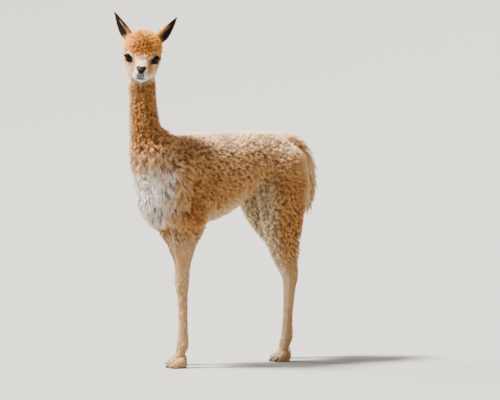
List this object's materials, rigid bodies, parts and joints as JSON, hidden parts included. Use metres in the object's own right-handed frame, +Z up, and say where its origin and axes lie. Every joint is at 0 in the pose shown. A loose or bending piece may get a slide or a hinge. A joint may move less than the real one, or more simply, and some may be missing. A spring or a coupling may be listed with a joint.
{
  "type": "young vicuna, life-size still model",
  "caption": "Life-size still model of a young vicuna standing square with its head turned to its left, in a woolly clumped fleece with a long hanging bib.",
  "frame": {"origin": "on the floor under the middle of the animal's bounding box", "axes": "+Z up, -Y towards the breast, +X towards the animal's left side"},
  "size_m": [0.2483, 0.7912, 1.1594],
  "materials": {
    "fleece": "dense soft fleece, tan over the back and white on the bib and belly",
    "face_fur": "woolly orange-brown crown, short cream face fur, dark lips and nostrils",
    "leg_fur": "short flat pale fawn fur",
    "tail_hair": "long soft brown hair with a paler underside",
    "eye": "wet, near black",
    "nail": "dull dark horn"
  },
  "bodies": {
    "root": {"torso": "fleece", "neck": "fleece", "head": "face_fur", "ear_left": "face_fur", "ear_right": "face_fur", "eye_left": "eye", "eye_right": "eye", "tail": "tail_hair", "foreleg_left": "leg_fur", "foreleg_right": "leg_fur", "hindleg_left": "leg_fur", "hindleg_right": "leg_fur", "nail_foreleg_left_inner": "nail", "nail_foreleg_left_outer": "nail", "nail_foreleg_right_inner": "nail", "nail_foreleg_right_outer": "nail", "nail_hindleg_left_inner": "nail", "nail_hindleg_left_outer": "nail", "nail_hindleg_right_inner": "nail", "nail_hindleg_right_outer": "nail"}
  },
  "joints": []
}
